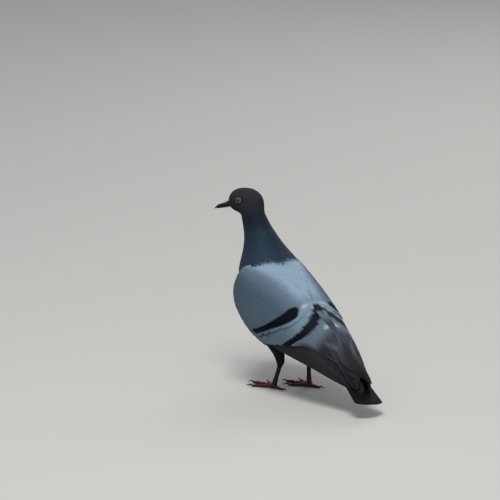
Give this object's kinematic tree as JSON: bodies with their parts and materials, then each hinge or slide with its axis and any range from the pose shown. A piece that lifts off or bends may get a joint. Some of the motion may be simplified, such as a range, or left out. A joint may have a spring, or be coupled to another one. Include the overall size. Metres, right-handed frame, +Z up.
{
  "type": "rock pigeon",
  "caption": "Life-size rock pigeon standing alert on both feet, wings folded with dark bars, neck stretched and head turned to its left.",
  "frame": {"origin": "on the floor, under the middle of the bird's bounds", "axes": "+Z up, +Y towards the tail (the bird faces -Y), +X towards the bird's left side"},
  "size_m": [0.0866, 0.2442, 0.1926],
  "materials": {
    "head_plumage": "soft feathers, charcoal grey",
    "neck_plumage": "glossy feathers, dark slate with a green and purple sheen",
    "body_plumage": "soft feathers, blue grey",
    "wing_plumage": "soft feathers, blue grey with black bars",
    "flight_feathers": "firm feathers, brownish black",
    "tail_feathers": "firm feathers, grey with a black end",
    "leg_skin": "scaled skin, dark red",
    "claw": "smooth horn, black",
    "bill": "smooth horn, black",
    "cere": "powdery skin, dark grey",
    "eye": "wet gloss, orange iris and black pupil"
  },
  "bodies": {
    "root": {"head": "head_plumage", "neck": "neck_plumage", "breast": "body_plumage", "trunk": "body_plumage", "tail_coverts": "body_plumage", "tail": "tail_feathers", "eye_left": "eye", "eye_right": "eye", "bill_upper": "bill", "bill_lower": "bill", "cere": "cere", "wing_left_coverts": "wing_plumage", "wing_left_secondaries": "wing_plumage", "wing_left_primaries": "flight_feathers", "thigh_left": "body_plumage", "tarsus_left": "leg_skin", "toe_left_middle": "leg_skin", "claw_left_middle": "claw", "toe_left_inner": "leg_skin", "claw_left_inner": "claw", "toe_left_outer": "leg_skin", "claw_left_outer": "claw", "toe_left_hind": "leg_skin", "claw_left_hind": "claw", "wing_right_coverts": "wing_plumage", "wing_right_secondaries": "wing_plumage", "wing_right_primaries": "flight_feathers", "thigh_right": "body_plumage", "tarsus_right": "leg_skin", "toe_right_middle": "leg_skin", "claw_right_middle": "claw", "toe_right_inner": "leg_skin", "claw_right_inner": "claw", "toe_right_outer": "leg_skin", "claw_right_outer": "claw", "toe_right_hind": "leg_skin", "claw_right_hind": "claw"}
  },
  "joints": []
}
